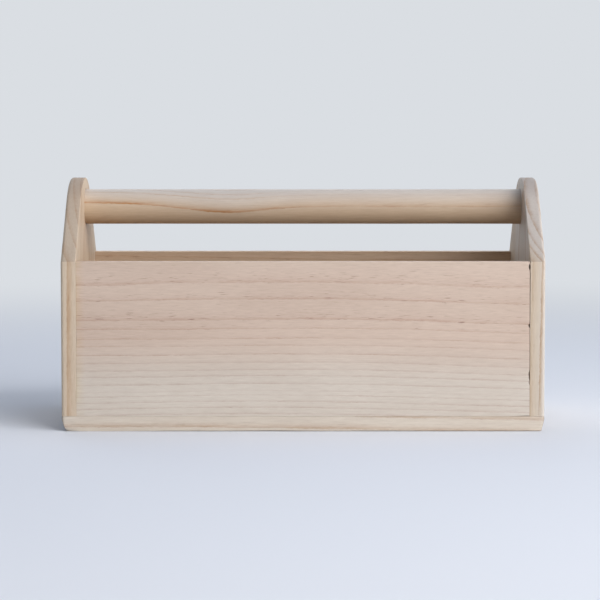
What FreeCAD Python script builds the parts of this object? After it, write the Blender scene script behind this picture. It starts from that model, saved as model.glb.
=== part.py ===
"""Open pine tool tote: bottom board, two house-shaped ends, two long walls, dowel handle.

Millimetres, +Z up, +X along the length, front wall towards -Y. The origin is the
centre of the resting face. Each piece of wood and each group of fasteners is written
as a STEP file of its own.
"""

import FreeCAD, Part
import math
import os
from FreeCAD import Vector

# ---- Driving dimensions -----------------------------------------------------------

tote_length = 320.0
tote_depth = 150.0

bottom_thickness = 10.0
end_thickness = 10.0
wall_thickness = 10.0
wall_height = 102.5

gable_angle = 45.0            # degrees, slope of the ends above the walls
crown_radius = 50.0           # rounding of the ends' top

handle_diameter = 24.0
wood_over_handle = 8.0        # end wood left between the handle and the crown
socket_depth = 4.0            # how far the handle is let into each end
socket_clearance = 0.1        # all round the handle in its socket

outer_edge_radius = 2.0       # outer edges of the ends, upright corners of the bottom
eased_edge = 0.6              # top edges of the walls, inner edges of the gables

screw_length = 35.0
screw_shank_diameter = 4.0
screw_head_diameter = 8.0
screw_head_rim = 0.4          # straight rim above the countersunk cone
screw_inset = 0.3             # head below the end's outer face
screw_hole_clearance = 0.25   # all round the shank, in the end only
screw_tip_length = 5.0
cross_recess_width = 4.4
cross_recess_slot = 1.1
cross_recess_depth = 1.6

pin_length = 25.0
pin_shank_diameter = 1.3
pin_head_diameter = 2.2
pin_head_height = 0.8
pin_tip_length = 1.5
pin_inset = 0.4               # pins punched below the surface

corner_pin_count = 3          # in each upright corner joint
corner_pin_margin = 16.0      # from the wall's top and bottom edges
long_pin_count = 5            # through the bottom into each long wall
long_pin_clear = 5.0          # from the corner pins' points
cross_pin_count = 3           # through the bottom into each end
cross_pin_margin = 10.0       # from the long walls' inner faces

# ---- Sizes that follow ------------------------------------------------------------

half_length = tote_length / 2
half_depth = tote_depth / 2
inner_half_length = half_length - end_thickness
inner_half_depth = half_depth - wall_thickness
wall_top = bottom_thickness + wall_height
slope = math.radians(gable_angle)
crown_top = wall_top + half_depth * math.tan(slope) - crown_radius * (1 / math.cos(slope) - 1)
crown_centre = crown_top - crown_radius
handle_radius = handle_diameter / 2
handle_height = crown_top - wood_over_handle - handle_radius

X_AXIS = Vector(1, 0, 0)
Y_AXIS = Vector(0, 1, 0)
CENTRE = Vector(0, 0, 0)


# ---- Small helpers ----------------------------------------------------------------

def board(x0, x1, y0, y1, z0, z1):
    """A sawn board between two opposite corners."""
    return Part.makeBox(x1 - x0, y1 - y0, z1 - z0, Vector(x0, y0, z0))


def mirrored_in_x(shape):
    """The same piece at the other end of the tote."""
    return shape.mirror(CENTRE, X_AXIS)


def mirrored_in_y(shape):
    """The same piece on the other long side of the tote."""
    return shape.mirror(CENTRE, Y_AXIS)


def spread(first, last, count):
    """Even places from first to last, or the middle when there is only one."""
    if count == 1:
        return [(first + last) / 2]
    step = (last - first) / (count - 1)
    return [first + step * index for index in range(count)]


def edges_where(edges, test):
    """Those of the edges whose every point passes the test."""
    chosen = []
    for edge in edges:
        points = edge.discretize(5)
        if all(test(point) for point in points):
            chosen.append(edge)
    return chosen


def near(value, target):
    return abs(value - target) < 1e-4


def turned(profile):
    """A solid turned about X from its (x, radius) outline, both ends on the axis."""
    points = [Vector(x, 0, radius) for x, radius in profile]
    outline = Part.makePolygon(points + [points[0]])
    return Part.Face(outline).revolve(CENTRE, X_AXIS, 360)


# ---- Fasteners, each drawn along +X from its head ----------------------------------

def pin_solid():
    """A panel pin: small flat head, plain shank, pointed tip."""
    shank = pin_shank_diameter / 2
    head = pin_head_diameter / 2
    return turned([
        (0, 0),
        (0, head),
        (pin_head_height, shank),
        (pin_length - pin_tip_length, shank),
        (pin_length, 0),
    ])


def pin_cutter():
    """The pin with the dimple that the punch leaves over its head."""
    dimple = Part.makeCylinder(pin_head_diameter / 2, pin_inset, Vector(-pin_inset, 0, 0), X_AXIS)
    return pin_solid().fuse(dimple)


def screw_outline(shank_diameter):
    """Outline of the countersunk screw, for the screw itself or its clearance hole."""
    shank = shank_diameter / 2
    head = screw_head_diameter / 2
    cone_end = screw_head_rim + head - shank
    return [
        (0, 0),
        (0, head),
        (screw_head_rim, head),
        (cone_end, shank),
        (screw_length - screw_tip_length, shank),
        (screw_length, 0),
    ]


def screw_solid():
    """A countersunk wood screw with a cross recess; the thread is drawn plain."""
    screw = turned(screw_outline(screw_shank_diameter))
    for turn in (0, 90):
        slot = Part.makeBox(
            cross_recess_depth,
            cross_recess_width,
            cross_recess_slot,
            Vector(0, -cross_recess_width / 2, -cross_recess_slot / 2),
        )
        slot.rotate(CENTRE, X_AXIS, turn)
        screw = screw.cut(slot)
    return screw


def screw_seat():
    """Countersink and clearance hole for the screw, open to the outer face."""
    mouth = Part.makeCylinder(screw_head_diameter / 2, screw_inset, Vector(-screw_inset, 0, 0), X_AXIS)
    hole = turned(screw_outline(screw_shank_diameter + 2 * screw_hole_clearance))
    return hole.fuse(mouth)


def placed_on_end(shape, y, z, inset):
    """Driven inwards through the left end's outer face."""
    copy = shape.copy()
    copy.translate(Vector(-half_length + inset, y, z))
    return copy


def placed_under(shape, x, y, inset):
    """Driven upwards through the bottom board."""
    copy = shape.copy()
    copy.rotate(CENTRE, Y_AXIS, -90)
    copy.translate(Vector(x, y, inset))
    return copy


# ---- Where the pins go ------------------------------------------------------------

wall_middle = (half_depth + inner_half_depth) / 2
end_middle = (half_length + inner_half_length) / 2
corner_pin_heights = spread(
    bottom_thickness + corner_pin_margin,
    wall_top - corner_pin_margin,
    corner_pin_count,
)
long_pin_reach = half_length - pin_inset - pin_length - long_pin_clear
long_pin_places = spread(-long_pin_reach, long_pin_reach, long_pin_count)
cross_pin_reach = inner_half_depth - cross_pin_margin
cross_pin_places = spread(-cross_pin_reach, cross_pin_reach, cross_pin_count)


def front_left_corner(fastener):
    """Copies in the front left corner joint, through the end into the wall."""
    return [placed_on_end(fastener, -wall_middle, z, pin_inset) for z in corner_pin_heights]


def under_front_wall(fastener):
    """Copies through the bottom board into the front wall."""
    return [placed_under(fastener, x, -wall_middle, pin_inset) for x in long_pin_places]


def under_left_end(fastener):
    """Copies through the bottom board into the left end."""
    return [placed_under(fastener, -end_middle, y, pin_inset) for y in cross_pin_places]


# ---- Wood -------------------------------------------------------------------------

def gable_outline():
    """Outline of an end in the YZ plane: upright edges, slopes and a round crown."""
    tangent_y = crown_radius * math.sin(slope)
    tangent_z = crown_centre + crown_radius * math.cos(slope)
    foot_front = Vector(0, -half_depth, bottom_thickness)
    shoulder_front = Vector(0, -half_depth, wall_top)
    crown_front = Vector(0, -tangent_y, tangent_z)
    crown = Vector(0, 0, crown_top)
    crown_back = Vector(0, tangent_y, tangent_z)
    shoulder_back = Vector(0, half_depth, wall_top)
    foot_back = Vector(0, half_depth, bottom_thickness)
    return Part.Wire([
        Part.makeLine(foot_front, shoulder_front),
        Part.makeLine(shoulder_front, crown_front),
        Part.Arc(crown_front, crown, crown_back).toShape(),
        Part.makeLine(crown_back, shoulder_back),
        Part.makeLine(shoulder_back, foot_back),
        Part.makeLine(foot_back, foot_front),
    ])


def left_end():
    """The left end, with its rounded outer edges, handle socket and fastener holes."""
    blank = Part.Face(gable_outline()).extrude(Vector(end_thickness, 0, 0))
    blank.translate(Vector(-half_length, 0, 0))

    def outer_rim(point):
        return near(point.x, -half_length)

    def inner_gable(point):
        return near(point.x, -inner_half_length) and point.z > wall_top - 1e-4

    above_foot = [edge for edge in blank.Edges if edge.CenterOfMass.z > bottom_thickness + 1e-4]
    end = blank.makeFillet(min(outer_edge_radius, end_thickness / 3), edges_where(above_foot, outer_rim))
    end = end.makeFillet(min(eased_edge, end_thickness / 6), edges_where(end.Edges, inner_gable))

    socket = Part.makeCylinder(
        handle_radius + socket_clearance,
        socket_depth,
        Vector(-inner_half_length - socket_depth, 0, handle_height),
        X_AXIS,
    )
    end = end.cut(socket)
    end = end.cut(placed_on_end(screw_seat(), 0, handle_height, screw_inset))
    for corner_pin in front_left_corner(pin_cutter()):
        end = end.cut(corner_pin)
        end = end.cut(mirrored_in_y(corner_pin))
    for pin in under_left_end(pin_cutter()):
        end = end.cut(pin)
    return end


def front_wall():
    """The front wall, fitted between the ends, with its top edges eased."""
    blank = board(
        -inner_half_length,
        inner_half_length,
        -half_depth,
        -inner_half_depth,
        bottom_thickness,
        wall_top,
    )

    def top_long_edge(point):
        on_face = near(point.y, -half_depth) or near(point.y, -inner_half_depth)
        return near(point.z, wall_top) and on_face

    wall = blank.makeFillet(min(eased_edge, wall_thickness / 4), edges_where(blank.Edges, top_long_edge))
    for corner_pin in front_left_corner(pin_cutter()):
        wall = wall.cut(corner_pin)
        wall = wall.cut(mirrored_in_x(corner_pin))
    for pin in under_front_wall(pin_cutter()):
        wall = wall.cut(pin)
    return wall


def bottom():
    """The full-size bottom board under the ends and the walls."""
    blank = board(-half_length, half_length, -half_depth, half_depth, 0, bottom_thickness)

    def upright_corner(point):
        return near(abs(point.x), half_length) and near(abs(point.y), half_depth)

    base = blank.makeFillet(outer_edge_radius, edges_where(blank.Edges, upright_corner))
    for pin in under_front_wall(pin_cutter()):
        base = base.cut(pin)
        base = base.cut(mirrored_in_y(pin))
    for pin in under_left_end(pin_cutter()):
        base = base.cut(pin)
        base = base.cut(mirrored_in_x(pin))
    return base


def handle():
    """The round handle, from one socket floor to the other, bored by its screws."""
    reach = inner_half_length + socket_depth
    dowel = Part.makeCylinder(handle_radius, 2 * reach, Vector(-reach, 0, handle_height), X_AXIS)
    thread = placed_on_end(turned(screw_outline(screw_shank_diameter)), 0, handle_height, screw_inset)
    dowel = dowel.cut(thread)
    return dowel.cut(mirrored_in_x(thread))


# ---- The tote ---------------------------------------------------------------------

front = front_wall()
left = left_end()
screw = placed_on_end(screw_solid(), 0, handle_height, screw_inset)
corner_pins = Part.makeCompound(front_left_corner(pin_solid()))
front_pins = Part.makeCompound(under_front_wall(pin_solid()))
left_pins = Part.makeCompound(under_left_end(pin_solid()))

nodes = {
    "bottom_board": bottom(),
    "left_end_panel": left,
    "right_end_panel": mirrored_in_x(left),
    "front_panel": front,
    "back_panel": mirrored_in_y(front),
    "handle_dowel": handle(),
    "left_handle_screw": screw,
    "right_handle_screw": mirrored_in_x(screw),
    "front_left_corner_pins": corner_pins,
    "front_right_corner_pins": mirrored_in_x(corner_pins),
    "back_left_corner_pins": mirrored_in_y(corner_pins),
    "back_right_corner_pins": mirrored_in_x(mirrored_in_y(corner_pins)),
    "bottom_to_front_pins": front_pins,
    "bottom_to_back_pins": mirrored_in_y(front_pins),
    "bottom_to_left_end_pins": left_pins,
    "bottom_to_right_end_pins": mirrored_in_x(left_pins),
}

os.makedirs("parts", exist_ok=True)
for name, shape in nodes.items():
    shape.exportStep(f"parts/{name}.step")
    box = shape.BoundBox
    print(
        f"{name}: {len(shape.Solids)} solids, valid {shape.isValid()}, {shape.Volume:.1f} mm3,"
        f" x {box.XMin:.2f}..{box.XMax:.2f}, y {box.YMin:.2f}..{box.YMax:.2f},"
        f" z {box.ZMin:.2f}..{box.ZMax:.2f}"
    )
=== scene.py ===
"""An open pine tool tote: bottom board, two house-shaped ends, two long walls, a dowel
handle between the ends, and the screws and pins that hold them. Metres, +Z up."""

import math
import random

import bmesh
import bpy
from mathutils import Euler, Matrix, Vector, noise


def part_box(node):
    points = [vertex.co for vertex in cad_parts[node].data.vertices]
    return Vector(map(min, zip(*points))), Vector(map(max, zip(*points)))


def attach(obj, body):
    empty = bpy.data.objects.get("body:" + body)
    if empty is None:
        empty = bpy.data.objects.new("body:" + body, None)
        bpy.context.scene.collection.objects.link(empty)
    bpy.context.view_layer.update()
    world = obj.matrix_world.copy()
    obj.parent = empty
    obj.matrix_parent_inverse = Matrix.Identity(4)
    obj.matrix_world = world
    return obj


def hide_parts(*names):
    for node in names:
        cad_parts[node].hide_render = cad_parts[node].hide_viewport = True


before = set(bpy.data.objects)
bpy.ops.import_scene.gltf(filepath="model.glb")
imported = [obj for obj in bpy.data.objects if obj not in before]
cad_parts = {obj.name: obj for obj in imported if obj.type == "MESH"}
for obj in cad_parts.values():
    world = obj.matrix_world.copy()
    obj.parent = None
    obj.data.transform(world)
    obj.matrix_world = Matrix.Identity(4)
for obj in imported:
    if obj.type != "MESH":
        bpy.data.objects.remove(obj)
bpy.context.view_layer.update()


# ---- Bottom board -----------------------------------------------------------------
# One planed pine board under the whole tote, its grain along it, sawn to length and sanded
# at its corners. The walls and ends stand on it, and pins come up through it. Its lower
# left corner at the front has been knocked.

MM = 0.001

bottom_low, bottom_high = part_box("bottom_board")
bottom_corner = 2.0 * MM
bottom_arris = 0.45 * MM
arris_unevenness = 0.35
bottom_under_edge = 0.4 * MM
bottom_end_rounding = {"left": 2.2 * MM, "right": 1.4 * MM}
bottom_plain_run = 12 * MM
blunt_end = 0.02 * MM
pin_head_radius = 1.1 * MM
pin_inset = 0.4 * MM
pin_hole_sides = 20
under_pin_rows = (
    ("bottom_to_front_pins", 5, "x", (0, 0, 1)),
    ("bottom_to_back_pins", 5, "x", (0, 0, 1)),
    ("bottom_to_left_end_pins", 3, "y", (0, 0, 1)),
    ("bottom_to_right_end_pins", 3, "y", (0, 0, 1)),
)
left_corner = Vector((bottom_low.x, bottom_low.y, bottom_low.z))
right_corner = Vector((bottom_high.x, bottom_low.y, bottom_low.z))

# Each knock: the corner it is on, the way it leans, and how deep it goes.
bottom_knocks = (
    (left_corner, Vector((1.0, 0.03, 0.36)), 2.8 * MM),
    (left_corner, Vector((1.0, 0.55, 0.9)), 3.2 * MM),
    (right_corner, Vector((-1.0, 0.0, 0.28)), 2.2 * MM),
)
knock_roughness = 0.25 * MM
knock_share = 0.85

# How high the cupped front edge stands, how far back and up the board that reaches, and
# where along the board it starts and over how much of its length it grows.
front_lift = 0.45 * MM
lift_depth = 14 * MM
lift_height = 4 * MM
lift_from = 0.10
lift_over = 0.12


def skin(shape, loops):
    """Adds a closed body to a mesh, through equal loops of points."""
    rings = [[shape.verts.new(point) for point in loop] for loop in loops]
    for ring, following in zip(rings, rings[1:]):
        for here in range(len(ring)):
            beside = (here + 1) % len(ring)
            shape.faces.new((ring[here], ring[beside], following[beside], following[here]))
    shape.faces.new(rings[0])
    shape.faces.new(rings[-1])


def loft(name, loops, crease=35):
    shape = bmesh.new()
    skin(shape, loops)
    bmesh.ops.recalc_face_normals(shape, faces=shape.faces)
    return finished(name, shape, crease)


def finished(name, shape, crease=35):
    """Turns the working mesh into an object, smooth except across its sharp edges."""
    mesh = bpy.data.meshes.new(name)
    shape.to_mesh(mesh)
    shape.free()
    mesh.shade_smooth()
    mesh.set_sharp_from_angle(angle=math.radians(crease))
    piece = bpy.data.objects.new(name, mesh)
    bpy.context.scene.collection.objects.link(piece)
    return piece


def even(first, last, count):
    """Evenly spaced numbers, both ends included."""
    return [first + (last - first) * index / (count - 1) for index in range(count)]


def rounded_rectangle(low, high, below, above, up, along=2):
    """Points round a rectangle whose lower corners are rounded by one radius and whose upper
    corners by another, with as many points on its upright and level sides as are asked
    for, the first and last of them just past a corner."""
    just_past = 1.6
    points = []
    corners = [
        ((high[0], low[1]), (-1, 1), -90, below),
        ((high[0], high[1]), (-1, -1), 0, above),
        ((low[0], high[1]), (1, -1), 90, above),
        ((low[0], low[1]), (1, 1), 180, below),
    ]
    for index, (corner, inward, start, radius) in enumerate(corners):
        centre = [corner[axis] + inward[axis] * radius for axis in (0, 1)]
        for angle in even(start, start + 90, 5):
            turn = math.radians(angle)
            points.append((centre[0] + radius * math.cos(turn), centre[1] + radius * math.sin(turn)))
        following, _, _, next_radius = corners[(index + 1) % 4]
        side = 1 if index % 2 == 0 else 0
        way = 1 if following[side] > corner[side] else -1
        first = corner[side] + way * radius * just_past
        last = following[side] - way * next_radius * just_past
        for place in even(first, last, up if side else along):
            point = [corner[0], corner[1]]
            point[side] = place
            points.append(tuple(point))
    return points


def round_in(distance, radius):
    """How far a surface has drawn in, at a distance from a rounded end."""
    if distance >= radius:
        return 0.0
    return radius - math.sqrt(max(0.0, radius * radius - (radius - distance) ** 2))


def end_distances(radius, steps=9):
    """Distances from a board's end, close together over its rounding."""
    quarter = even(0, math.pi / 2, steps)
    return [radius * (1 - math.cos(angle)) for angle in quarter] + [radius * 1.5]


def bottom_loops():
    """Sections of the bottom board from left to right."""
    left = bottom_end_rounding["left"]
    right = bottom_end_rounding["right"]
    plain = even(bottom_low.x + bottom_plain_run, bottom_high.x - bottom_plain_run, 40)
    places = [(bottom_low.x + away, away, left) for away in end_distances(left)]
    places += [(x, bottom_plain_run, left) for x in plain]
    places += [(bottom_high.x - away, away, right) for away in reversed(end_distances(right))]
    loops = []
    for x, away, under in places:
        plan = round_in(away + blunt_end, bottom_corner)
        rise = round_in(away, under)
        ease = round_in(away, bottom_arris)
        uneven = noise.noise(Vector((x * 90, 4.1, 0)))
        section = rounded_rectangle(
            (bottom_low.y + plan, bottom_low.z + rise),
            (bottom_high.y - plan, bottom_high.z - ease),
            bottom_under_edge,
            bottom_arris * (1 + arris_unevenness * uneven),
            up=8,
            along=24,
        )
        loops.append([Vector((x, y, z)) for y, z in section])
    return loops


def knock_corner(piece, corner, lean, depth):
    """Flattens what stands nearer to a corner than the depth, along the lean."""
    lean = lean.normalized()
    for vertex in piece.data.vertices:
        away = (vertex.co - corner).dot(lean)
        rough = knock_roughness * noise.noise(vertex.co * 900)
        if away < depth + rough:
            vertex.co += lean * (depth + rough - away) * knock_share


def lift_front(piece):
    """The board is slightly cupped: its front edge stands a hair off the table, right of
    the knocked corner."""
    for vertex in piece.data.vertices:
        back = (vertex.co.y - bottom_low.y) / lift_depth
        height = (vertex.co.z - bottom_low.z) / lift_height
        share = (vertex.co.x - bottom_low.x) / (bottom_high.x - bottom_low.x)
        uneven = 0.75 + 0.4 * noise.noise(vertex.co * 25)
        reach = min(1.0, max(0.0, (share - lift_from) / lift_over)) * uneven
        vertex.co.z += front_lift * reach * max(0.0, 1 - back) * max(0.0, 1 - height)


class Wire:
    """A shader socket that adds Math nodes when it is used in an expression."""

    def __init__(self, bench, socket):
        self.bench = bench
        self.socket = socket

    def math(self, operation, *terms):
        return self.bench.add("ShaderNodeMath", {"operation": operation}, dict(enumerate(terms)))

    def __add__(self, other):
        return self.math("ADD", self, other)

    __radd__ = __add__

    def __sub__(self, other):
        return self.math("SUBTRACT", self, other)

    def __rsub__(self, other):
        return self.math("SUBTRACT", other, self)

    def __mul__(self, other):
        return self.math("MULTIPLY", self, other)

    __rmul__ = __mul__

    def __truediv__(self, other):
        return self.math("DIVIDE", self, other)

    def __pow__(self, other):
        return self.math("POWER", self, other)

    def __abs__(self):
        return self.math("ABSOLUTE", self)

    def remainder(self):
        return self.math("FRACT", self)

    def smooth(self, low, high):
        """0 below low, 1 above high, and an easy curve between."""
        return self.bench.add(
            "ShaderNodeMapRange",
            {"interpolation_type": "SMOOTHSTEP"},
            {"Value": self, "From Min": low, "From Max": high, "To Min": 0.0, "To Max": 1.0},
        )


class Bench:
    """A node tree in the making, with one method that adds any node to it."""

    def __init__(self, owner):
        self.owner = owner
        if isinstance(owner, bpy.types.NodeTree):
            self.tree = owner
        else:
            owner.use_nodes = True
            self.tree = owner.node_tree
        self.tree.nodes.clear()

    def add(self, kind, settings, sockets, output=0):
        """Any node: its settings first, then the values or wires of its sockets."""
        node = self.tree.nodes.new(kind)
        for key, value in (settings or {}).items():
            if key == "stops":
                self.fill_ramp(node.color_ramp, value)
            elif key == "between_stops":
                node.color_ramp.interpolation = value
            else:
                setattr(node, key, value)
        for key, value in (sockets or {}).items():
            socket = self.find(node.inputs, key)
            for wire in value if isinstance(value, list) else [value]:
                if isinstance(wire, Wire):
                    self.tree.links.new(wire.socket, socket)
                else:
                    socket.default_value = wire
        if node.outputs:
            return Wire(self, self.find(node.outputs, output))

    def find(self, sockets, key):
        if isinstance(key, int):
            return sockets[key]
        for socket in sockets:
            if socket.identifier == key:
                return socket
        return sockets[key]

    def fill_ramp(self, ramp, stops):
        while len(ramp.elements) > 1:
            ramp.elements.remove(ramp.elements[-1])
        for index, (place, value) in enumerate(stops):
            stop = ramp.elements[0] if index == 0 else ramp.elements.new(place)
            stop.position = place
            stop.color = (value, value, value, 1) if isinstance(value, float) else (*value, 1)

    def vector(self, operation, first, second, output=0):
        return self.add("ShaderNodeVectorMath", {"operation": operation}, {0: first, 1: second}, output)

    def blend(self, amount, first, second, how="MIX"):
        """One colour going over into another."""
        return self.add(
            "ShaderNodeMix",
            {"data_type": "RGBA", "blend_type": how},
            {"Factor_Float": amount, "A_Color": first, "B_Color": second},
            "Result_Color",
        )

    def cloud(self, place, scale, detail, roughness=0.5, output=0):
        return self.add(
            "ShaderNodeTexNoise",
            {"noise_dimensions": "3D"},
            {"Vector": place, "Scale": scale, "Detail": detail, "Roughness": roughness},
            output,
        )

    def close(self, sockets):
        """The surface shader and the output."""
        shader = self.add("ShaderNodeBsdfPrincipled", None, sockets)
        self.add("ShaderNodeOutputMaterial", None, {"Surface": shader})
        return self.owner


def paint(red, green, blue):
    """A colour as it looks on a screen, for a shader."""
    shades = []
    for value in (red, green, blue):
        shade = value / 255
        shades.append(shade / 12.92 if shade <= 0.04045 else ((shade + 0.055) / 1.055) ** 2.4)
    return (*shades, 1.0)


def seasons(seed, count, width, spread):
    """A tree's yearly growth from the inside out: each year's width in millimetres, and how
    dark its late wood is."""
    draw = random.Random(seed)
    return [(width * (1 + spread * draw.uniform(-1, 1)), draw.uniform(0.35, 1.0)) for _ in range(count)]


def pine(name, pith, turn, start, years, inner, outer, outer_from, late, rings=0.4, flecks=0.5,
         flecks_within=400, crisp=0.55, wander=3.0, pales=None, bend=None, stain=None):
    """Planed pine, sawn from a log: the rings stand round a pith line, so faces, edges and
    end grain agree. pith is a point on that line and turn lays its X axis along the grain.
    start is the first ring's radius in millimetres; outer_from is the band of radii over
    which the inner wood's colour gives way to the outer's. Flecks thin out past
    flecks_within, crisp is how much of a ring's dark edge is a sharp line, and pales gives
    two places along the board between which the rings lose most of their strength."""
    bench = Bench(bpy.data.materials.new(name))
    place = bench.add("ShaderNodeTexCoord", None, None, "Object")
    facing = bench.add("ShaderNodeTexCoord", None, None, "Normal")
    log = bench.add(
        "ShaderNodeMapping",
        {"vector_type": "TEXTURE"},
        {"Vector": place, "Location": pith, "Rotation": turn, "Scale": (MM, MM, MM)},
    )

    def stretched(along, across):
        return bench.vector("MULTIPLY", log, (along, across, across))

    # The rings wander along the board, and each line is ragged where fibres cross it.
    slow = bench.cloud(stretched(0.009, 0.02), 1.0, 1.0, 0.5, "Color")
    slow = bench.vector("SUBTRACT", slow, (0.5, 0.5, 0.5))
    quick = bench.cloud(stretched(0.045, 0.3), 1.0, 3.0, 0.6, "Color")
    quick = bench.vector("SUBTRACT", quick, (0.5, 0.5, 0.5))
    drift = bench.vector("MULTIPLY", slow, (0, wander, wander))
    ragged = bench.vector("MULTIPLY", quick, (0, 0.9, 0.9))
    from_pith = bench.vector("MULTIPLY", log, (0, 1, 1))
    grown = bench.vector("ADD", from_pith, bench.vector("ADD", drift, ragged))
    if bend:
        grown = bench.vector("ADD", grown, bend(bench, log))
    torn = bench.cloud(stretched(0.30, 1.0), 1.0, 3.0, 0.65) - 0.5
    radius = bench.vector("LENGTH", grown, (0, 0, 0), "Value") + torn * 1.2

    # How many rings out a point is. Each year darkens outwards and ends sharply.
    count = len(years)
    widths = [width for width, _ in years]
    reach = sum(widths)
    grown_by = [(sum(widths[:index]) / reach, index / count) for index in range(count + 1)]
    age = bench.add("ShaderNodeValToRGB", {"stops": grown_by}, {"Fac": (radius - start) / reach}) * count
    season = age.remainder()
    darkness = [(max(0.0, (index + 0.2) / count), depth) for index, (_, depth) in enumerate(years)]
    year = bench.add(
        "ShaderNodeValToRGB",
        {"stops": darkness, "between_stops": "CONSTANT"},
        {"Fac": age / count},
    )
    fall = 1 - season.smooth(0.95, 1.0)
    dark_band = season.smooth(0.25, 0.95) ** 2.5 * fall
    dark_line = season.smooth(0.80, 0.93) * fall
    patch = bench.cloud(stretched(0.02, 0.15), 1.0, 3.0, 0.6).smooth(0.25, 0.75)
    streak = bench.cloud(stretched(0.09, 1.1), 1.0, 4.0, 0.72)
    strength = year * (0.45 + 0.85 * patch) * (0.35 + 1.3 * streak)
    if pales:
        along = bench.add("ShaderNodeSeparateXYZ", None, {"Vector": log}, "X")
        strength = strength * (1 - 0.6 * along.smooth(*pales))
    latewood = ((1 - crisp) * dark_band + crisp * dark_line) * strength

    # Hairs, and short dark resin ducts that swarm beside the dark lines.
    hair = bench.cloud(stretched(0.30, 9.0), 1.0, 2.0, 0.6)
    duct = bench.cloud(stretched(0.10, 2.9), 1.0, 1.0, 0.5)
    swarm = bench.cloud(stretched(0.02, 0.12), 7.3, 1.0).smooth(0.38, 0.60)
    thinned = 1 - radius.smooth(flecks_within, flecks_within + 15)
    ducts = duct.smooth(0.60, 0.72) * swarm * thinned * (0.3 + 0.7 * season.smooth(0.35, 0.8)) * flecks

    body = bench.blend(radius.smooth(*outer_from), inner, outer)
    cloudy = bench.cloud(stretched(0.01, 0.04), 1.0, 3.0).smooth(0.3, 0.7)
    body = bench.blend(0.10 * cloudy, body, paint(170, 132, 104), "MULTIPLY")
    body = bench.blend((streak - 0.25) * 0.45, body, paint(150, 122, 104), "MULTIPLY")
    ringed = bench.blend(latewood * rings, body, late, "MULTIPLY")
    dotted = bench.blend(ducts, ringed, paint(150, 116, 96), "MULTIPLY")

    # Where the saw cut across the fibres the wood is darker and greyer.
    grain = tuple(Euler(turn).to_matrix() @ Vector((1, 0, 0)))
    across = abs(bench.vector("DOT_PRODUCT", facing, grain, "Value")).smooth(0.25, 1.0)
    colour = bench.blend(across * 0.85, dotted, paint(194, 190, 192), "MULTIPLY")
    if stain:
        colour = stain(bench, place, colour)

    height = latewood * 0.6 - streak * 0.5 - hair * 0.35 - ducts * 0.8
    rough = 0.52 + 0.10 * streak - 0.08 * latewood + 0.15 * across
    relief = bench.add("ShaderNodeBump", None, {"Height": height, "Strength": 0.35, "Distance": 0.00012})
    return bench.close({
        "Base Color": colour,
        "Roughness": rough,
        "Normal": relief,
        "Specular IOR Level": 0.45,
    })


def pin_row(node, count, along, aim):
    """Where each pin of a row starts in the wood, and which way it points."""
    low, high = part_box(node)
    aim = Vector(aim)
    axis = "xyz".index(along)
    start = (low + high) / 2
    for index in range(3):
        if aim[index]:
            start[index] = low[index] if aim[index] > 0 else high[index]
    first = low[axis] + pin_head_radius
    last = high[axis] - pin_head_radius
    places = []
    for step in even(first, last, count) if count > 1 else [start[axis]]:
        place = start.copy()
        place[axis] = step
        places.append((place, aim))
    return places


def bored(place, aim, profile, sides):
    """Loops for a round hole; profile gives distances along its aim and radii."""
    turn = aim.to_track_quat("Z", "Y")
    loops = []
    for distance, radius in profile:
        loop = []
        for index in range(sides):
            angle = 2 * math.pi * index / sides
            point = Vector((radius * math.cos(angle), radius * math.sin(angle), distance))
            loop.append(place + turn @ point)
        loops.append(loop)
    return loops


# A pin is set below the surface, and the wood round its hole is a little crushed: distances
# in from the pin's head and radii, from outside the wood to just below the head.
pin_hole_profile = (
    (-1.2 * MM, 1.32 * MM),
    (-pin_inset, 1.24 * MM),
    (-0.15 * MM, 1.14 * MM),
    (0.9 * MM, 1.13 * MM),
)


def pin_holes(rows):
    starts = [start for row in rows for start in pin_row(*row)]
    return [bored(place, aim, pin_hole_profile, pin_hole_sides) for place, aim in starts]


def drill(piece, holes, crease=35):
    shape = bmesh.new()
    for loops in holes:
        skin(shape, loops)
    bmesh.ops.recalc_face_normals(shape, faces=shape.faces)
    bit = finished("bit", shape)
    cut = piece.modifiers.new("holes", "BOOLEAN")
    cut.operation = "DIFFERENCE"
    cut.solver = "MANIFOLD"
    cut.object = bit
    graph = bpy.context.evaluated_depsgraph_get()
    piece.data = bpy.data.meshes.new_from_object(piece.evaluated_get(graph), depsgraph=graph)
    piece.modifiers.remove(cut)
    bpy.data.objects.remove(bit)
    piece.data.materials.clear()
    piece.data.set_sharp_from_angle(angle=math.radians(crease))


def bowed(crest, run, rise, way=(0, 1)):
    """A bent stem, sawn straight: the rings move off on both sides of a crest along the
    board, by rise millimetres at run millimetres from it. way is the direction across the
    grain in which they move. A face that turns to it shows arches, and an edge that lies
    along it keeps its straight lines."""
    def bend(bench, log):
        along = bench.add("ShaderNodeSeparateXYZ", None, {"Vector": log}, "X")
        from_crest = (along - crest) / run
        lean = from_crest * from_crest * rise
        return bench.add("ShaderNodeCombineXYZ", None, {"Y": lean * way[0], "Z": lean * way[1]})
    return bend


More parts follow.
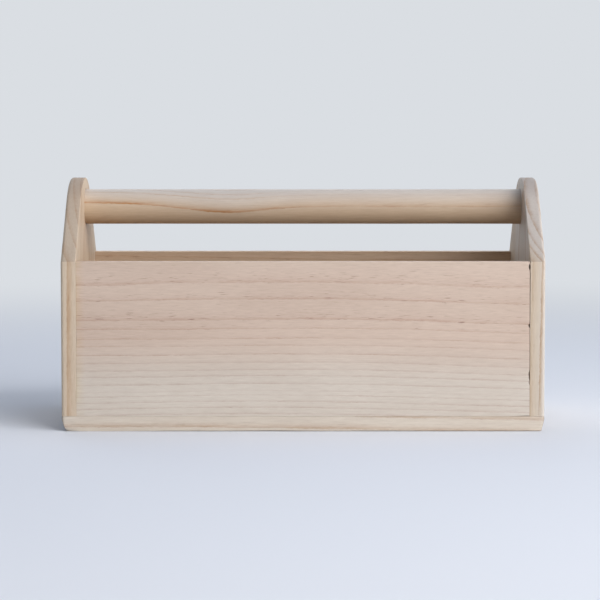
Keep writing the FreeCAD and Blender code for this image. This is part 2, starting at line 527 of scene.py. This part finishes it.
bottom_board = loft("bottom_board_wood", bottom_loops())
lift_front(bottom_board)
for knock in bottom_knocks:
    knock_corner(bottom_board, *knock)
drill(bottom_board, pin_holes(under_pin_rows))
bottom_board.data.materials.append(pine(
    "bottom_pine",
    pith=(0, 10 * MM, 88 * MM),
    turn=(0, 0, 0),
    start=70,
    years=[
        (7.4, 0.6), (7.8, 0.8), (7.2, 0.5), (8.0, 0.7), (7.7, 0.9), (6.7, 0.8), (5.8, 1.0), (6.8, 0.8),
        (7.4, 0.7), (6.9, 0.8),
    ],
    inner=paint(216, 202, 184),
    outer=paint(216, 206, 191),
    outer_from=(84, 112),
    late=paint(229, 211, 197),
    rings=0.75,
    crisp=0.0,
    flecks=0.3,
    wander=0.8,
    bend=bowed(-134.0, 150.0, 1.06),
))
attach(bottom_board, "root")
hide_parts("bottom_board")


# ---- Ends -------------------------------------------------------------------------
# Two pine boards with upright grain, cut to a house shape with a round top. The outer rim
# is rounded over and sanded. Each has a blind socket for the handle, with a countersunk
# hole for its screw, and is pinned to the walls' ends.

end_low, end_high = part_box("left_end_panel")
end_thickness = end_high.x - end_low.x
foot = end_low.z
crown_top = end_high.z
wall_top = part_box("front_panel")[1].z
half_depth = bottom_high.y
gable_angle = math.radians(45)
ridge_height = wall_top + half_depth * math.tan(gable_angle)
crown_radius = (ridge_height - crown_top) / (1 / math.cos(gable_angle) - 1)
rim_radius = 2.0 * MM
gable_ease = 0.6 * MM
joint_ease = 0.1 * MM
socket_depth = 4.0 * MM
socket_radius = 12.1 * MM
socket_ease = 0.3 * MM
screw_bore_radius = 2.25 * MM
countersink_depth = 2.7 * MM
screw_hole_sides = 72
cut_overshoot = 1.0 * MM

# The countersunk hole's mouth: distances in from the outer face, and how much wider than
# the screw's head it is there.
screw_mouth = ((-cut_overshoot, 1.25 * MM), (0.0, 0.35 * MM), (0.35 * MM, 0.0), (0.7 * MM, 0.0))


def gable():
    """Points round an end from the front foot, each with the kind of edge that follows."""
    centre = crown_top - crown_radius
    points = []
    for z in even(foot, wall_top, 40)[:-1]:
        points.append((-half_depth, z, "upright"))
    tangent = (-crown_radius * math.sin(gable_angle), centre + crown_radius * math.cos(gable_angle))
    for share in even(0, 1, 16)[:-1]:
        y = -half_depth + (tangent[0] + half_depth) * share
        z = wall_top + (tangent[1] - wall_top) * share
        points.append((y, z, "gable"))
    for angle in even(-gable_angle, gable_angle, 49)[:-1]:
        points.append((crown_radius * math.sin(angle), centre + crown_radius * math.cos(angle), "gable"))
    for share in even(1, 0, 16)[:-1]:
        y = half_depth - (tangent[0] + half_depth) * share
        z = wall_top + (tangent[1] - wall_top) * share
        points.append((y, z, "gable"))
    for z in even(wall_top, foot, 40)[:-1]:
        points.append((half_depth, z, "upright"))
    points.append((half_depth, foot, "foot"))
    return points


def drawn_in(points, amounts):
    """The outline moved inwards, by an amount for each kind of edge."""
    moved = []
    count = len(points)
    for here in range(count):
        before = points[here - 1]
        y, z, kind = points[here]
        after = points[(here + 1) % count]
        sides = []
        for first, second in ((before, points[here]), (points[here], after)):
            along = Vector((second[0] - first[0], second[1] - first[1])).normalized()
            sides.append((Vector((along.y, -along.x)), amounts[first[2]]))
        (normal_a, amount_a), (normal_b, amount_b) = sides
        across = normal_a.x * normal_b.y - normal_a.y * normal_b.x
        if abs(across) < 1e-3:
            step = normal_a * amount_a
        else:
            step = Vector((
                (amount_a * normal_b.y - amount_b * normal_a.y) / across,
                (normal_a.x * amount_b - normal_b.x * amount_a) / across,
            ))
        moved.append((y + step.x, z + step.y))
    return moved


def end_loops(outer_x, inner_x):
    """Sections of an end from its outer face to its inner face. The first and last lie in a
    face, just inside its rounded edge, so the face stays flat."""
    way = 1 if inner_x > outer_x else -1
    outline = gable()
    loops = []

    def section(x, rim=0.0, top=0.0, joint=0.0):
        amounts = {"upright": max(rim, joint), "gable": max(rim, top), "foot": 0.0}
        loops.append([Vector((x, y, z)) for y, z in drawn_in(outline, amounts)])

    section(outer_x, rim=rim_radius * 1.6)
    for away in even(0, math.pi / 2, 9):
        x = outer_x + way * rim_radius * (1 - math.cos(away))
        section(x, rim=rim_radius * (1 - math.sin(away)))
    for share in (0.35, 0.6):
        section(outer_x + (inner_x - outer_x) * share)
    for away in even(0, math.pi / 2, 6):
        x = inner_x - way * gable_ease * (1 - math.sin(away))
        eased = 1 - math.cos(away)
        section(x, top=gable_ease * eased, joint=joint_ease * eased)
    section(inner_x, top=gable_ease * 1.8, joint=joint_ease * 3)
    return loops


def end_panel(name, node, outward):
    low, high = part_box(node)
    outer_x, inner_x = (low.x, high.x) if outward < 0 else (high.x, low.x)
    return loft(name, end_loops(outer_x, inner_x), 30)


def end_holes(node, corner_rows, screw_node, inward):
    """A stepped hole for the handle's screw, its socket inside, and the corner pins' holes."""
    low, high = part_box(node)
    screw_low, screw_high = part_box(screw_node)
    centre = (screw_low + screw_high) / 2
    centre.x = low.x if inward > 0 else high.x
    head = (screw_high.z - screw_low.z) / 2
    socket_floor = end_thickness - socket_depth
    stepped = [(away, head + wider) for away, wider in screw_mouth] + [
        (countersink_depth, screw_bore_radius),
        (socket_floor - 0.01 * MM, screw_bore_radius),
        (socket_floor, socket_radius),
        (end_thickness - socket_ease, socket_radius),
        (end_thickness + cut_overshoot, socket_radius + cut_overshoot + socket_ease),
    ]
    screw_hole = bored(centre, Vector((inward, 0, 0)), stepped, screw_hole_sides)
    return [screw_hole] + pin_holes(corner_rows)


left_pin_rows = (
    ("front_left_corner_pins", 3, "z", (1, 0, 0)),
    ("back_left_corner_pins", 3, "z", (1, 0, 0)),
)
right_pin_rows = (
    ("front_right_corner_pins", 3, "z", (-1, 0, 0)),
    ("back_right_corner_pins", 3, "z", (-1, 0, 0)),
)
left_end = end_panel("left_end_wood", "left_end_panel", -1)
right_end = end_panel("right_end_wood", "right_end_panel", 1)
drill(left_end, end_holes("left_end_panel", left_pin_rows, "left_handle_screw", 1), 30)
drill(right_end, end_holes("right_end_panel", right_pin_rows, "right_handle_screw", -1), 30)
left_end.data.materials.append(pine(
    "left_end_pine",
    pith=(-35 * MM, 6 * MM, 60 * MM),
    turn=(0, math.radians(-90 + 0.3), 0),
    start=90,
    years=[
        (8.0, 0.6), (9.0, 0.8), (7.5, 0.5), (7.0, 0.7), (4.8, 0.7), (4.7, 0.8), (6.3, 0.6), (8.8, 1.0),
        (8.8, 0.7), (9.4, 0.9),
    ],
    inner=paint(211, 190, 164),
    outer=paint(212, 195, 172),
    outer_from=(120, 136),
    late=paint(228, 206, 184),
    rings=0.75,
    crisp=0.0,
    wander=0.8,
    bend=bowed(-55.0, 90.0, 4.5, (0.83, 0.56)),
))
right_end.data.materials.append(pine(
    "right_end_pine",
    pith=(215 * MM, -15 * MM, 60 * MM),
    turn=(0, math.radians(-90 + 0.8), 0),
    start=45,
    years=[
        (6.5, 0.6), (8.0, 1.0), (7.3, 0.6), (7.2, 1.0), (5.6, 0.8), (4.2, 0.9), (4.6, 0.5), (5.0, 0.7),
        (5.2, 0.8), (5.0, 0.6), (5.0, 0.9), (5.4, 0.7),
    ],
    # The inner wood, which shows on the upper slope, is greyer than the front edge. This is partly its
    # own colour and partly painted cool sky light on the slope.
    inner=paint(209, 202, 192),
    outer=paint(204, 188, 166),
    outer_from=(79, 88),
    late=paint(218, 194, 170),
    rings=0.8,
    crisp=0.1,
    wander=0.8,
    bend=bowed(-20.0, 90.0, 6.0, (0.70, 0.72)),
))
for piece, node, slot in (
    (left_end, "left_end_panel", "left_end_pine"),
    (right_end, "right_end_panel", "right_end_pine"),
):
    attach(piece, "root")
    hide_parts(node)


# ---- Long walls -------------------------------------------------------------------
# The front and back boards stand on the bottom board between the ends, glued and pinned.
# Both are pine, with their grain along the tote. The front one is cut a little out of
# square, so its right joint opens towards the top.

front_low, front_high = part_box("front_panel")
wall_arris = 0.45 * MM
wall_foot_edge = 0.2 * MM
wall_end_ease = 0.12 * MM
wall_plain_run = 6 * MM


def wall_loops(low, high):
    """Sections of a wall from left to right, close together where its ends are fitted."""
    near = end_distances(wall_end_ease, 5) + [0.9 * MM, 1.6 * MM, 2.6 * MM]
    plain = even(low.x + wall_plain_run, high.x - wall_plain_run, 30)
    places = [(low.x + away, away) for away in near]
    places += [(x, wall_plain_run) for x in plain]
    places += [(high.x - away, away) for away in reversed(near)]
    loops = []
    for x, away in places:
        ease = round_in(away, wall_end_ease)
        section = rounded_rectangle(
            (low.y + ease, low.z),
            (high.y - ease, high.z),
            wall_foot_edge,
            wall_arris,
            up=240,
        )
        loops.append([Vector((x, y, z)) for y, z in section])
    return loops


def between(stops, value):
    """A value read off a list of places and amounts."""
    for (place, amount), (next_place, next_amount) in zip(stops, stops[1:]):
        if value <= next_place:
            share = (value - place) / (next_place - place)
            return amount + (next_amount - amount) * max(0.0, share)
    return stops[-1][1]


# How far the front board's right end stands off, from its foot to its top, in millimetres.
right_gap = [(0.0, 0.0), (0.12, 0.0), (0.3, 0.20), (0.7, 0.32), (1.0, 0.40)]

# The chips in its edges: where up the board and how far each way, as shares of its height,
# and how deep in millimetres.
right_chips = [(0.965, 0.022, 0.9), (0.588, 0.014, 0.9), (0.262, 0.034, 0.8), (0.215, 0.012, 0.7)]
left_chips = [(0.52, 0.075, 0.16), (0.30, 0.05, 0.08)]

# How far into the board an end's fitting and a chip reach, in millimetres, and how high
# the lower right corner stands off and over what length.
fitted_reach = 4
chip_reach = 2.5
lifted_corner = 0.45
lift_reach = 13.0

# How far from the left joint the wiped glue and the line of glue in the joint fade out.
glue_smear = (0.5 * MM, 6.5 * MM)
glue_line = (0.1 * MM, 0.7 * MM)


def chipped(gap, chips, height, from_front, ragged):
    """The gap beside an end of the board, with its chips."""
    for place, half, depth in chips:
        beside = max(0.0, 1 - ((height - place) / half) ** 2)
        gap += depth * (beside * max(0.0, 1 - from_front / chip_reach)) * ragged
    return gap


def fit_front(piece):
    """Draws the front board's ends in from its neighbours, as it is cut and chipped."""
    for vertex in piece.data.vertices:
        height = (vertex.co.z - front_low.z) / (front_high.z - front_low.z)
        from_right = (front_high.x - vertex.co.x) / MM
        from_left = (vertex.co.x - front_low.x) / MM
        from_front = (vertex.co.y - front_low.y) / MM
        ragged = 1 + 0.5 * noise.noise(vertex.co * 700)
        if from_right < fitted_reach:
            gap = chipped(between(right_gap, height), right_chips, height, from_front, ragged)
            vertex.co.x -= gap * MM * (1 - from_right / fitted_reach)
        if from_left < fitted_reach:
            gap = chipped(0.0, left_chips, height, from_front, ragged)
            vertex.co.x += gap * MM * (1 - from_left / fitted_reach)
        if height < 0.5 and from_right < lift_reach:
            share = 1 - from_right / lift_reach
            vertex.co.z += lifted_corner * MM * share * share * (3 - 2 * share) * (1 - 2 * height)


def glued_edges(bench, place, colour):
    """Glue wiped off beside the left joint has yellowed the wood in patches."""
    along = bench.add("ShaderNodeSeparateXYZ", None, {"Vector": place}, "X")
    smear = bench.cloud(place, 90.0, 3.0).smooth(0.35, 0.65)
    near = 1 - (along - front_low.x).smooth(*glue_smear)
    wiped = bench.blend(near * (0.3 + 0.7 * smear), colour, paint(254, 249, 236), "MULTIPLY")
    seam = 1 - (along - front_low.x).smooth(*glue_line)
    return bench.blend(seam * smear * 0.3, wiped, paint(222, 210, 176), "MULTIPLY")


front_wall = loft("front_wood", wall_loops(front_low, front_high))
fit_front(front_wall)
front_wall.data.materials.append(pine(
    "front_pine",
    pith=(0, -35 * MM, 120 * MM),
    turn=(0, 0, 0),
    start=27.0,
    years=[
        (5.6, 0.35), (6.2, 0.4), (6.8, 0.55), (6.1, 0.7), (9.3, 0.65), (4.4, 0.65), (5.3, 0.6),
        (3.9, 0.55), (5.1, 0.6), (4.7, 0.6), (4.5, 0.6), (3.7, 0.7), (4.9, 0.7), (4.4, 0.3),
        (2.4, 0.7), (3.9, 0.7), (3.7, 0.7), (4.0, 0.7), (4.2, 0.7),
    ],
    inner=paint(208, 188, 171),
    outer=paint(213, 204, 191),
    outer_from=(66, 98),
    late=paint(196, 142, 120),
    flecks=0.95,
    flecks_within=58,
    wander=2.0,
    bend=bowed(-30.0, 150.0, 2.4),
    stain=glued_edges,
))
back_low, back_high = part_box("back_panel")
back_wall = loft("back_wood", wall_loops(back_low, back_high))
back_wall.data.materials.append(pine(
    "back_pine",
    pith=(0, 20 * MM, -15 * MM),
    turn=(0, math.radians(0.6), 0),
    start=50,
    years=seasons(23, 20, 4.6, 0.3),
    inner=paint(210, 180, 148),
    outer=paint(210, 185, 158),
    outer_from=(95, 118),
    late=paint(214, 168, 132),
))
for piece, node, slot in (
    (front_wall, "front_panel", "front_pine"),
    (back_wall, "back_panel", "back_pine"),
):
    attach(piece, "root")
    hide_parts(node)


# ---- Handle -----------------------------------------------------------------------
# A stout pine dowel, turned and sanded by hand, so it isn't quite round. It is let into a
# blind socket in each end and held there by a screw through the end.

handle_low, handle_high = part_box("handle_dowel")
handle_radius = (handle_high.z - handle_low.z) / 2
handle_centre = (handle_high + handle_low) / 2
handle_wear = 0.06 * MM
handle_sides = 96


def handle_loops():
    loops = []
    for x in even(handle_low.x, handle_high.x, 60):
        loop = []
        for index in range(handle_sides):
            angle = 2 * math.pi * index / handle_sides
            back = math.cos(angle)
            up = math.sin(angle)
            radius = handle_radius - handle_wear * (1 + noise.noise(Vector((x * 25, back, up))))
            loop.append(Vector((x, radius * back, handle_centre.z + radius * up)))
        loops.append(loop)
    return loops


# Where along the handle, from its middle, its rings dip or rise and by how much, both in
# millimetres; a dip stays within half of the swing.
handle_dips = (
    (-150, 2.8), (-122, 2.2), (-105, 1.2), (-95, 0.3), (-86, -0.7), (-76, -1.8), (-64, -2.9),
    (-50, -3.55), (-37, -3.0), (-23, -1.6), (-9, -0.7), (12, 0.2), (33, 0.4), (58, 0.1),
    (110, 0.3), (150, 0.0),
)
dip_swing = 10
dip_run = 150


def handle_wave(bench, log):
    """The handle's rings dip on the left, where the stem of the tree was bent."""
    along = bench.add("ShaderNodeSeparateXYZ", None, {"Vector": log}, "X")
    stops = [((x + dip_run) / (2 * dip_run), 0.5 + dip / dip_swing) for x, dip in handle_dips]
    wave = bench.add(
        "ShaderNodeValToRGB",
        {"stops": stops, "between_stops": "CARDINAL"},
        {"Fac": (along + dip_run) / (2 * dip_run)},
    )
    return bench.add("ShaderNodeCombineXYZ", None, {"Z": (0.5 - wave) * dip_swing})


handle = loft("handle_wood", handle_loops())
handle.data.materials.append(pine(
    "handle_pine",
    pith=(0, 8 * MM, 200 * MM),
    turn=(0, 0, 0),
    start=20,
    years=[
        (7.5, 0.4), (8.0, 0.5), (5.2, 0.4), (4.3, 0.4), (3.6, 0.45), (8.6, 1.0), (12.5, 0.5),
        (9.0, 0.6),
    ],
    # The dowel's rings are set so its wood turns from grey on top to orange underneath. This is partly
    # its own colour and partly painted light: cool sky light on the top and warm bounced light under it.
    inner=paint(195, 187, 178),
    outer=paint(203, 179, 150),
    outer_from=(42, 63),
    late=paint(222, 178, 128),
    rings=0.75,
    crisp=0.45,
    flecks=0.2,
    wander=0.6,
    pales=(-40, 20),
    bend=handle_wave,
))
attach(handle, "root")
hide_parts("handle_dowel")


# ---- Handle screws ----------------------------------------------------------------
# A countersunk steel wood screw through each end into the handle, with a cross recess, a
# plain neck and a rolled thread. Its head lies just below the wood.

screw_sizes = {
    "Length": 35 * MM,
    "Head Radius": 4.0 * MM,
    "Rim": 0.4 * MM,
    "Neck Radius": 2.0 * MM,
    "Root Radius": 1.4 * MM,
    "Pitch": 1.8 * MM,
    "Recess Width": 4.4 * MM,
    "Recess Slot": 1.1 * MM,
    "Recess Depth": 1.7 * MM,
}
recess_overshoot = 0.2 * MM


def steel(name, shade, scuffs):
    """Bright drawn steel, with fine scuffs and a little dust in patches."""
    bench = Bench(bpy.data.materials.new(name))
    place = bench.add("ShaderNodeTexCoord", None, None, "Object")
    scuff = bench.cloud(place, scuffs, 3.0)
    dust = bench.cloud(place, scuffs * 0.4, 2.0).smooth(0.45, 0.75)
    dull = tuple(part * 0.55 for part in shade[:3]) + (1.0,)
    relief = bench.add("ShaderNodeBump", None, {"Height": scuff, "Strength": 0.25, "Distance": 0.00005})
    return bench.close({
        "Base Color": bench.blend(dust * 0.5, shade, dull),
        "Metallic": 1.0,
        "Roughness": 0.28 + 0.25 * scuff + 0.2 * dust,
        "Normal": relief,
    })


def named_sizes(tree, sizes):
    """Gives a node tree its inputs and output, and a wire for each size."""
    tree.interface.new_socket(name="Geometry", in_out="INPUT", socket_type="NodeSocketGeometry")
    for size, value in sizes.items():
        socket = tree.interface.new_socket(name=size, in_out="INPUT", socket_type="NodeSocketFloat")
        socket.default_value = value
    tree.interface.new_socket(name="Geometry", in_out="OUTPUT", socket_type="NodeSocketGeometry")
    bench = Bench(tree)
    first = bench.add("NodeGroupInput", None, None, "Geometry")
    wires = {size: Wire(bench, bench.find(first.socket.node.outputs, size)) for size in sizes}
    return bench, first, wires


def spun(bench, profile, sides):
    """A closed round body from heights and radii, with a flat top and a point."""
    parts = [bench.add("GeometryNodeTransform", None, {
        "Geometry": bench.add(
            "GeometryNodeMeshCircle",
            {"fill_type": "NGON"},
            {"Vertices": sides, "Radius": profile[0][1]},
        ),
        "Rotation": (math.pi, 0, 0),
    })]
    for (height, radius), (next_height, next_radius) in zip(profile, profile[1:]):
        ring = bench.add("GeometryNodeMeshCone", {"fill_type": "NONE"}, {
            "Vertices": sides,
            "Radius Bottom": radius,
            "Radius Top": next_radius,
            "Depth": next_height - height,
        }, "Mesh")
        lift = bench.add("ShaderNodeCombineXYZ", None, {"Z": height})
        parts.append(bench.add("GeometryNodeTransform", None, {"Geometry": ring, "Translation": lift}))
    joined = bench.add("GeometryNodeJoinGeometry", None, {"Geometry": parts})
    return bench.add("GeometryNodeMergeByDistance", None, {"Geometry": joined, "Distance": 1e-6})


def set_along(bench, points, body, seed, finish):
    """Puts a body at each point, aimed into the wood and turned at random, in one material."""
    aim = bench.add("GeometryNodeInputNamedAttribute", {"data_type": "FLOAT_VECTOR"}, {"Name": "aim"})
    turn = bench.add("FunctionNodeAlignRotationToVector", {"axis": "Z"}, {"Vector": aim})
    copies = bench.add(
        "GeometryNodeInstanceOnPoints",
        None,
        {"Points": points, "Instance": body, "Rotation": turn},
    )
    twist = bench.add("FunctionNodeRandomValue", {"data_type": "FLOAT"}, {
        "Min_001": 0.0,
        "Max_001": 2 * math.pi,
        "Seed": seed,
    }, "Value_001")
    twisted = bench.add("GeometryNodeRotateInstances", None, {
        "Instances": copies,
        "Rotation": bench.add("ShaderNodeCombineXYZ", None, {"Z": twist}),
        "Local Space": True,
    })
    plain = bench.add("GeometryNodeRealizeInstances", None, {"Geometry": twisted})
    finished_body = bench.add("GeometryNodeSetMaterial", None, {"Geometry": plain, "Material": finish})
    bench.add("NodeGroupOutput", None, {"Geometry": finished_body})


def laid_out(name, tree, sizes, places):
    """One plain mesh of every copy that a node tree makes at these places."""
    mesh = bpy.data.meshes.new(name)
    mesh.from_pydata([place for place, _ in places], [], [])
    aims = mesh.attributes.new("aim", "FLOAT_VECTOR", "POINT")
    for index, (_, aim) in enumerate(places):
        aims.data[index].vector = aim
    piece = bpy.data.objects.new(name, mesh)
    bpy.context.scene.collection.objects.link(piece)
    layout = piece.modifiers.new("layout", "NODES")
    layout.node_group = tree
    for socket in tree.interface.items_tree:
        if socket.in_out == "INPUT" and socket.name in sizes:
            layout[socket.identifier] = sizes[socket.name]
    graph = bpy.context.evaluated_depsgraph_get()
    piece.data = bpy.data.meshes.new_from_object(piece.evaluated_get(graph), depsgraph=graph)
    piece.modifiers.remove(layout)
    shape = bmesh.new()
    shape.from_mesh(piece.data)
    bmesh.ops.recalc_face_normals(shape, faces=shape.faces)
    shape.to_mesh(piece.data)
    shape.free()
    piece.data.shade_smooth()
    piece.data.set_sharp_from_angle(angle=math.radians(35))
    return piece


def wood_screws(finish):
    tree = bpy.data.node_groups.new("wood_screws", "GeometryNodeTree")
    bench, points, size = named_sizes(tree, screw_sizes)
    head = size["Head Radius"]
    rim = size["Rim"]
    neck = size["Neck Radius"]
    root = size["Root Radius"]
    length = size["Length"]
    pitch = size["Pitch"]
    body = spun(bench, [
        (0.0, head - rim * 0.25),
        (rim * 0.25, head),
        (rim, head),
        (rim + (head - neck), neck),
        (length * 0.35, neck),
        (length * 0.35 + (neck - root), root),
        (length - pitch * 2, root * 0.95),
        (length - pitch * 0.5, root * 0.45),
        (length, 0.0),
    ], 40)
    wide = size["Recess Width"]
    narrow = size["Recess Slot"]
    slots = []
    for across, up in ((wide, narrow), (narrow, wide)):
        square = bench.add("GeometryNodeMeshCone", {"fill_type": "NGON"}, {
            "Vertices": 4,
            "Radius Bottom": 0.74,
            "Radius Top": 0.45,
            "Depth": size["Recess Depth"] + recess_overshoot,
        }, "Mesh")
        squared = bench.add("GeometryNodeTransform", None, {
            "Geometry": square,
            "Rotation": (0, 0, math.pi / 4),
        })
        slots.append(bench.add("GeometryNodeTransform", None, {
            "Geometry": squared,
            "Translation": (0, 0, -recess_overshoot),
            "Scale": bench.add("ShaderNodeCombineXYZ", None, {"X": across, "Y": up, "Z": 1.0}),
        }))
    cut = bench.add(
        "GeometryNodeMeshBoolean",
        {"operation": "DIFFERENCE", "solver": "EXACT"},
        {"Mesh 1": body, "Mesh 2": slots},
        "Mesh",
    )
    threaded = length * 0.6 - pitch * 2
    ridge = bench.add(
        "GeometryNodeCurvePrimitiveCircle",
        {"mode": "RADIUS"},
        {"Resolution": 3, "Radius": neck - root},
    )
    turns = []
    for start, rise, first_radius, last_radius in (
        (length * 0.4, threaded, root, root),
        (length * 0.4 + threaded, pitch * 1.9, root, root * 0.2),
    ):
        coil = bench.add("GeometryNodeCurveSpiral", None, {
            "Resolution": 24,
            "Rotations": rise / pitch,
            "Start Radius": first_radius,
            "End Radius": last_radius,
            "Height": rise,
        })
        thread = bench.add("GeometryNodeCurveToMesh", None, {
            "Curve": coil,
            "Profile Curve": ridge,
            "Fill Caps": True,
        })
        lift = bench.add("ShaderNodeCombineXYZ", None, {"Z": start})
        turns.append(bench.add("GeometryNodeTransform", None, {"Geometry": thread, "Translation": lift}))
    screw = bench.add("GeometryNodeJoinGeometry", None, {"Geometry": [cut] + turns})
    set_along(bench, points, screw, 4, finish)
    return tree


screw_places = [
    *pin_row("left_handle_screw", 1, "z", (1, 0, 0)),
    *pin_row("right_handle_screw", 1, "z", (-1, 0, 0)),
]
screw_steel = steel("screw_steel", paint(190, 190, 184), 700.0)
handle_screws = laid_out("handle_screws", wood_screws(screw_steel), screw_sizes, screw_places)
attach(handle_screws, "root")
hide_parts("left_handle_screw", "right_handle_screw")


# ---- Panel pins -------------------------------------------------------------------
# Thin steel pins with small flat heads, driven through the ends into the long walls and up
# through the bottom board, and punched just below the surface.

pin_sizes = {
    "Length": 25 * MM,
    "Shank Radius": 0.65 * MM,
    "Head Radius": pin_head_radius,
    "Head Height": 0.8 * MM,
    "Point": 1.5 * MM,
}


def panel_pins(finish):
    tree = bpy.data.node_groups.new("panel_pins", "GeometryNodeTree")
    bench, points, size = named_sizes(tree, pin_sizes)
    head = size["Head Radius"]
    shank = size["Shank Radius"]
    pin = spun(bench, [
        (0.0, head * 0.88),
        (size["Head Height"] * 0.12, head),
        (size["Head Height"] * 0.4, head),
        (size["Head Height"], shank * 1.15),
        (size["Head Height"] * 1.6, shank),
        (size["Length"] - size["Point"], shank),
        (size["Length"], 0.0),
    ], 16)
    set_along(bench, points, pin, 9, finish)
    return tree


pin_rows = [*left_pin_rows, *right_pin_rows, *under_pin_rows]
pin_steel = steel("pin_steel", paint(176, 175, 172), 1600.0)
pins = laid_out(
    "panel_pins",
    panel_pins(pin_steel),
    pin_sizes,
    [start for row in pin_rows for start in pin_row(*row)],
)
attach(pins, "root")
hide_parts(*[row[0] for row in pin_rows])


# ---- Floor, light and camera ------------------------------------------------------
# A sheet of pale matt paper that fades into a plain backdrop, with soft daylight from large
# windows, most of it from the front right. The camera looks at the front, from just above.

backdrop_colour = paint(218, 222, 227)
floor_fade = (0.45, 1.6)
floor_radius = 12.0
tote_middle = Vector((0, 0, 0.08))
camera_place = (-2.0 * MM, -1541.9 * MM, 192.0 * MM)
camera_looks_down = 4.084


def floor_finish():
    bench = Bench(bpy.data.materials.new("floor_paper"))
    place = bench.add("ShaderNodeTexCoord", None, None, "Object")
    away = bench.vector("LENGTH", place, (0, 0, 0), "Value").smooth(*floor_fade)
    paper = bench.add("ShaderNodeBsdfDiffuse", None, {"Color": paint(223, 226, 231)})
    glow = bench.add("ShaderNodeEmission", None, {"Color": backdrop_colour, "Strength": 1.0})
    mixed = bench.add("ShaderNodeMixShader", None, {0: away, 1: paper, 2: glow})
    bench.add("ShaderNodeOutputMaterial", None, {"Surface": mixed})
    return bench.owner


floor_shape = bmesh.new()
bmesh.ops.create_circle(floor_shape, cap_ends=True, radius=floor_radius, segments=96)
floor = finished("floor", floor_shape)
floor.data.materials.append(floor_finish())


def room_air():
    """Soft sky light for the object, and the plain backdrop where a ray meets nothing."""
    bench = Bench(bpy.data.worlds.new("room"))
    ray = "ShaderNodeLightPath"
    camera_ray = bench.add(ray, None, None, "Is Camera Ray")
    glossy_ray = bench.add(ray, None, None, "Is Glossy Ray")
    glass_ray = bench.add(ray, None, None, "Is Transmission Ray")
    seen = camera_ray.math("MAXIMUM", camera_ray.math("MAXIMUM", camera_ray, glossy_ray), glass_ray)
    sky = bench.add("ShaderNodeBackground", None, {"Color": paint(236, 242, 255), "Strength": 0.14})
    backdrop = bench.add("ShaderNodeBackground", None, {"Color": backdrop_colour, "Strength": 1.0})
    mixed = bench.add("ShaderNodeMixShader", None, {0: seen, 1: sky, 2: backdrop})
    bench.add("ShaderNodeOutputWorld", None, {"Surface": mixed})
    return bench.owner


bpy.context.scene.world = room_air()


def area_light(name, place, size, power, colour):
    """A square window of light, turned to the tote; place and size in metres, power in watts."""
    lamp = bpy.data.lights.new(name, "AREA")
    lamp.shape = "SQUARE"
    lamp.size = size
    lamp.energy = power
    lamp.color = colour[:3]
    light = bpy.data.objects.new(name, lamp)
    bpy.context.scene.collection.objects.link(light)
    light.location = place
    light.rotation_euler = (tote_middle - Vector(place)).to_track_quat("-Z", "Y").to_euler()


area_light("window", (1.25, -1.45, 1.12), 1.8, 48.5, paint(250, 250, 253))
area_light("side_window", (1.9, -0.3, 0.7), 1.4, 10.0, paint(250, 250, 250))
area_light("room", (0.6, -2.3, 1.1), 1.6, 4.5, paint(255, 236, 218))
area_light("skylight", (0.0, 0.3, 1.6), 1.6, 9.0, paint(214, 230, 255))
area_light("back_window", (-0.5, 2.0, 1.1), 1.8, 15.0, paint(250, 250, 250))

camera_data = bpy.data.cameras.new("camera")
camera_data.sensor_width = 36.0
camera_data.lens = 133.7
camera = bpy.data.objects.new("camera", camera_data)
bpy.context.scene.collection.objects.link(camera)
camera.location = camera_place
camera.rotation_euler = (math.radians(90 - camera_looks_down), 0, 0)
bpy.context.scene.camera = camera
bpy.context.scene.view_settings.view_transform = "Standard"
